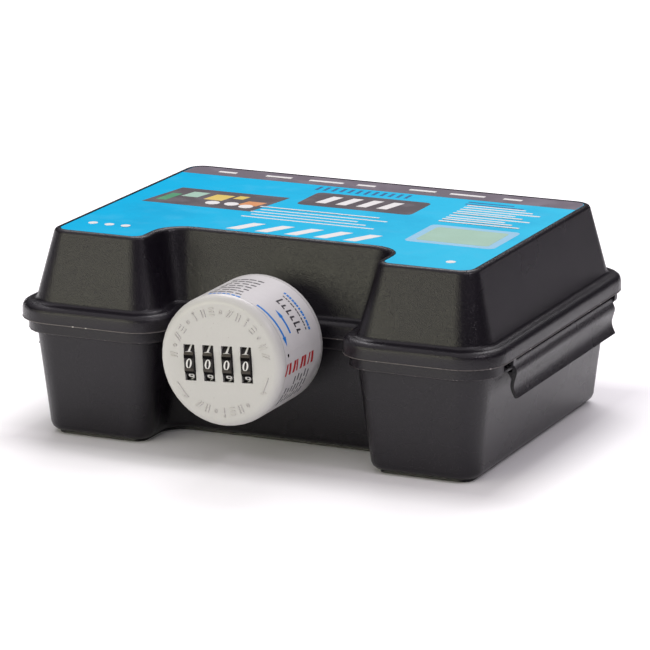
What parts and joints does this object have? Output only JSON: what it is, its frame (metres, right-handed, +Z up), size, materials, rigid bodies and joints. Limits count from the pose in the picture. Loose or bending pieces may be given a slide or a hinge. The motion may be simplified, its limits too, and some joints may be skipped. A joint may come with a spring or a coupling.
{
  "type": "medication lock box",
  "caption": "Hinged moulded storage case with drafted walls, side snap latches and a front recess closed by a screw-on combination cap.",
  "frame": {"origin": "centre of the case's flat underside", "axes": "X along the case's length, -Y out of the lock side, +Z up"},
  "size_m": [0.2294, 0.204, 0.0925],
  "materials": {
    "black_plastic": "fine-grained satin",
    "white_plastic": "satin",
    "grey_plastic": "satin",
    "wheel_plastic": "semi-gloss with white numbers",
    "printed_blue_film": "printed film",
    "printed_white_film": "printed film",
    "steel": "bright",
    "spring_steel": "drawn wire and strip",
    "brass": "machined"
  },
  "bodies": {
    "base": {"base_tray": "black_plastic", "hinge_pin_left": "steel", "hinge_pin_right": "steel"},
    "lid": {"lid_shell": "black_plastic", "lid_label": "printed_blue_film"},
    "latch_left": {"side_latch_left": "black_plastic"},
    "latch_right": {"side_latch_right": "black_plastic"},
    "lock_ring": {"lock_ring": "grey_plastic"},
    "cap": {"cap_shell": "white_plastic", "cap_wrap_label": "printed_white_film", "thread_insert": "white_plastic", "dial_carrier": "grey_plastic", "detent_spring": "spring_steel", "reset_spring": "spring_steel", "clutch_spring_left": "spring_steel", "clutch_spring_right": "spring_steel", "carrier_screw_1": "steel", "carrier_screw_2": "steel", "carrier_screw_3": "steel", "carrier_screw_4": "steel", "insert_screw_1": "steel", "insert_screw_2": "steel", "insert_screw_3": "steel"},
    "dial_1": {"dial_wheel_1": "wheel_plastic"},
    "dial_2": {"dial_wheel_2": "wheel_plastic"},
    "dial_3": {"dial_wheel_3": "wheel_plastic"},
    "dial_4": {"dial_wheel_4": "wheel_plastic"},
    "shaft": {"dial_shaft": "steel"},
    "sleeve_1": {"code_sleeve_1": "brass"},
    "sleeve_2": {"code_sleeve_2": "brass"},
    "sleeve_3": {"code_sleeve_3": "brass"},
    "sleeve_4": {"code_sleeve_4": "brass"},
    "clutch": {"clutch_bar": "steel"}
  },
  "joints": [
    {"name": "lid_hinge", "type": "hinge", "parent": "base", "child": "lid", "pos_m": [0, 0.0903, 0.0528], "axis": [-1, 0, 0], "range_deg": [0, 110]},
    {"name": "latch_left_swing", "type": "hinge", "parent": "lid", "child": "latch_left", "pos_m": [-0.112, 0.003, 0.0513], "axis": [0, 1, 0], "range_deg": [-14, 85]},
    {"name": "latch_right_swing", "type": "hinge", "parent": "lid", "child": "latch_right", "pos_m": [0.112, 0.003, 0.0513], "axis": [0, -1, 0], "range_deg": [-14, 85]},
    {"name": "cap_travel", "type": "slide", "parent": "base", "child": "lock_ring", "axis": [0, -1, 0], "range_m": [-0.00451, 0.01201]},
    {"name": "cap_turn", "type": "hinge", "parent": "lock_ring", "child": "cap", "pos_m": [0, -0.0885, 0.052], "axis": [0, -1, 0], "range_deg": [-405, 1080]},
    {"name": "dial_1_turn", "type": "hinge", "parent": "cap", "child": "dial_1", "pos_m": [-0.0142, -0.0997, 0.05026], "axis": [0.9982, 0, 0.0593], "continuous": true},
    {"name": "dial_2_turn", "type": "hinge", "parent": "cap", "child": "dial_2", "pos_m": [-0.00536, -0.0997, 0.05078], "axis": [0.9982, 0, 0.0593], "continuous": true},
    {"name": "dial_3_turn", "type": "hinge", "parent": "cap", "child": "dial_3", "pos_m": [0.00347, -0.0997, 0.0513], "axis": [0.9982, 0, 0.0593], "continuous": true},
    {"name": "dial_4_turn", "type": "hinge", "parent": "cap", "child": "dial_4", "pos_m": [0.01231, -0.0997, 0.05183], "axis": [0.9982, 0, 0.0593], "continuous": true},
    {"name": "shaft_slide", "type": "slide", "parent": "cap", "child": "shaft", "axis": [-0.9982, 0, -0.0593], "range_m": [0, 0.0012], "stiffness_N_per_m": 300, "deforming": ["reset_spring"]},
    {"name": "sleeve_1_turn", "type": "hinge", "parent": "shaft", "child": "sleeve_1", "pos_m": [-0.0142, -0.0997, 0.05026], "axis": [0.9982, 0, 0.0593], "continuous": true},
    {"name": "sleeve_2_turn", "type": "hinge", "parent": "shaft", "child": "sleeve_2", "pos_m": [-0.00536, -0.0997, 0.05078], "axis": [0.9982, 0, 0.0593], "continuous": true},
    {"name": "sleeve_3_turn", "type": "hinge", "parent": "shaft", "child": "sleeve_3", "pos_m": [0.00347, -0.0997, 0.0513], "axis": [0.9982, 0, 0.0593], "continuous": true},
    {"name": "sleeve_4_turn", "type": "hinge", "parent": "shaft", "child": "sleeve_4", "pos_m": [0.01231, -0.0997, 0.05183], "axis": [0.9982, 0, 0.0593], "continuous": true},
    {"name": "clutch_slide", "type": "slide", "parent": "cap", "child": "clutch", "axis": [0, -1, 0], "range_m": [-0.0012, 0], "stiffness_N_per_m": 200, "deforming": ["clutch_spring_left", "clutch_spring_right"]}
  ],
  "couplings": [
    {"joint": "cap_travel", "follows": "cap_turn", "m_per_rad": 0.00063662},
    {"joint": "sleeve_1_turn", "follows": "dial_1_turn", "ratio": 1},
    {"joint": "sleeve_2_turn", "follows": "dial_2_turn", "ratio": 1},
    {"joint": "sleeve_3_turn", "follows": "dial_3_turn", "ratio": 1},
    {"joint": "sleeve_4_turn", "follows": "dial_4_turn", "ratio": 1}
  ]
}
